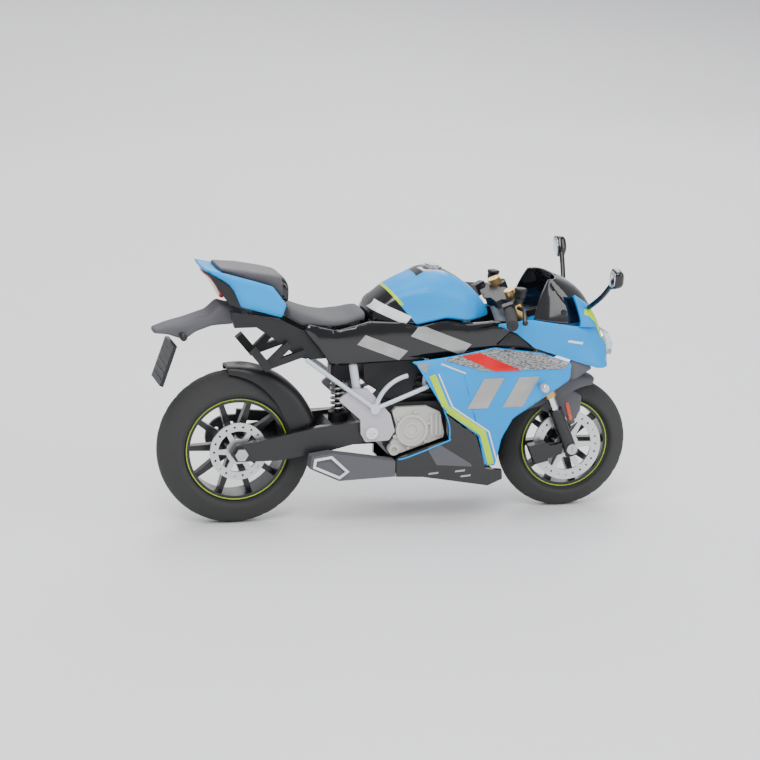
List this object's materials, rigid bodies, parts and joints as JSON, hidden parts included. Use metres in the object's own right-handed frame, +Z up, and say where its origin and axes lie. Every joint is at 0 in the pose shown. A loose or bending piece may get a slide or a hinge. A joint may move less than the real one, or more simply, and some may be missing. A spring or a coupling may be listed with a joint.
{
  "type": "toy motorcycle",
  "caption": "Die-cast toy sport motorcycle with a full fairing, steering, sprung fork and swingarm, rolling wheels, a folding side stand and a sound button.",
  "frame": {"origin": "bottom centre of the whole toy, on the ground under its middle", "axes": "+X forward, +Y to the rider's left, +Z up"},
  "size_m": [0.1642, 0.067, 0.0882],
  "materials": {
    "blue_plastic": "glossy light blue paint with lime and silver graphics",
    "blue_metal": "glossy light blue paint over zinc casting",
    "black_gloss": "glossy black moulding",
    "black_matte": "satin black moulding",
    "dark_grey": "dark grey moulding",
    "frame_silver": "light silver paint over zinc casting",
    "plate_grey": "warm grey paint over zinc casting",
    "engine_silver": "cast silver paint",
    "bright_trim": "bright plated",
    "steel": "bare steel",
    "cap_metal": "dark anodised",
    "gold": "gold anodised",
    "casting_black": "black paint",
    "tyre_rubber": "dark rubber with a fine tread",
    "seat_cover": "soft grained dark grey",
    "lens_clear": "clear",
    "led_white": "milky white",
    "lens_red": "clear red",
    "lens_silver": "silvered clear lens",
    "board_green": "green lacquer"
  },
  "bodies": {
    "chassis": {"alternator_cover": "engine_silver", "battery_box": "black_matte", "belly_pan": "black_gloss", "button_cells": "steel", "circuit_board": "board_green", "clutch_cover": "engine_silver", "cover_screws": "steel", "engine_block": "black_matte", "exhaust": "dark_grey", "front_cowl": "blue_plastic", "fuel_cap": "cap_metal", "fuel_tank": "blue_metal", "headlight_leds": "led_white", "headlight_lens": "lens_clear", "instrument_panel": "black_matte", "main_frame": "frame_silver", "mirrors": "black_gloss", "muffler_end_ring": "bright_trim", "number_plate": "dark_grey", "pillion_pegs": "black_matte", "pillion_seat": "seat_cover", "pivot_bolt": "steel", "pivot_plates": "plate_grey", "plate_holder": "dark_grey", "radiator": "black_matte", "rear_subframe": "black_matte", "rider_seat": "seat_cover", "shock_body": "black_matte", "side_fairing_left": "blue_plastic", "side_fairing_right": "blue_plastic", "side_panel_left": "black_gloss", "side_panel_right": "black_gloss", "speaker": "black_matte", "tail_cowl": "blue_plastic", "tail_light": "lens_red", "turn_signals": "lens_silver", "windscreen": "black_gloss"},
    "steering": {"lower_clamp": "casting_black", "handlebars": "black_matte", "hand_levers": "black_matte", "fork_outer_tubes": "gold"},
    "fork_lower": {"fork_inner_tubes": "bright_trim", "fork_feet": "casting_black", "front_axle": "steel", "front_fender": "dark_grey", "front_caliper": "casting_black"},
    "front_wheel": {"front_rim": "casting_black", "front_tyre": "tyre_rubber", "front_disc": "steel"},
    "swingarm": {"swingarm": "black_matte", "rear_axle": "steel", "rear_hugger": "black_matte", "chain": "dark_grey", "shock_spring": "steel"},
    "rear_wheel": {"rear_rim": "casting_black", "rear_tyre": "tyre_rubber", "rear_disc": "steel"},
    "side_stand": {"side_stand": "black_matte"},
    "sound_button": {"sound_button": "black_matte"}
  },
  "joints": [
    {"name": "steer", "type": "hinge", "parent": "chassis", "child": "steering", "pos_m": [0.03961, 0, 0.06293], "axis": [-0.3827, 0, 0.9239], "range_deg": [-20, 20]},
    {"name": "fork_slide", "type": "slide", "parent": "steering", "child": "fork_lower", "axis": [-0.3827, 0, 0.9239], "range_m": [0, 0.0025], "stiffness_N_per_m": 2500, "springref_m": -0.001},
    {"name": "front_spin", "type": "hinge", "parent": "fork_lower", "child": "front_wheel", "pos_m": [0.0596, 0, 0.0225], "axis": [0, 1, 0], "continuous": true},
    {"name": "swing", "type": "hinge", "parent": "chassis", "child": "swingarm", "pos_m": [-0.0109, 0, 0.0318], "axis": [0, 1, 0], "range_deg": [0, 5], "stiffness_Nm_per_rad": 4, "springref_deg": -1.72, "deforming": ["shock_spring"]},
    {"name": "rear_spin", "type": "hinge", "parent": "swingarm", "child": "rear_wheel", "pos_m": [-0.0544, 0, 0.026], "axis": [0, 1, 0], "continuous": true},
    {"name": "stand_fold", "type": "hinge", "parent": "chassis", "child": "side_stand", "pos_m": [0.0011, 0.0183, 0.0202], "axis": [0.2991, -0.9542, 0], "range_deg": [0, 105]},
    {"name": "button_press", "type": "slide", "parent": "chassis", "child": "sound_button", "axis": [0, -1, 0], "range_m": [0, 0.0008], "stiffness_N_per_m": 800}
  ]
}
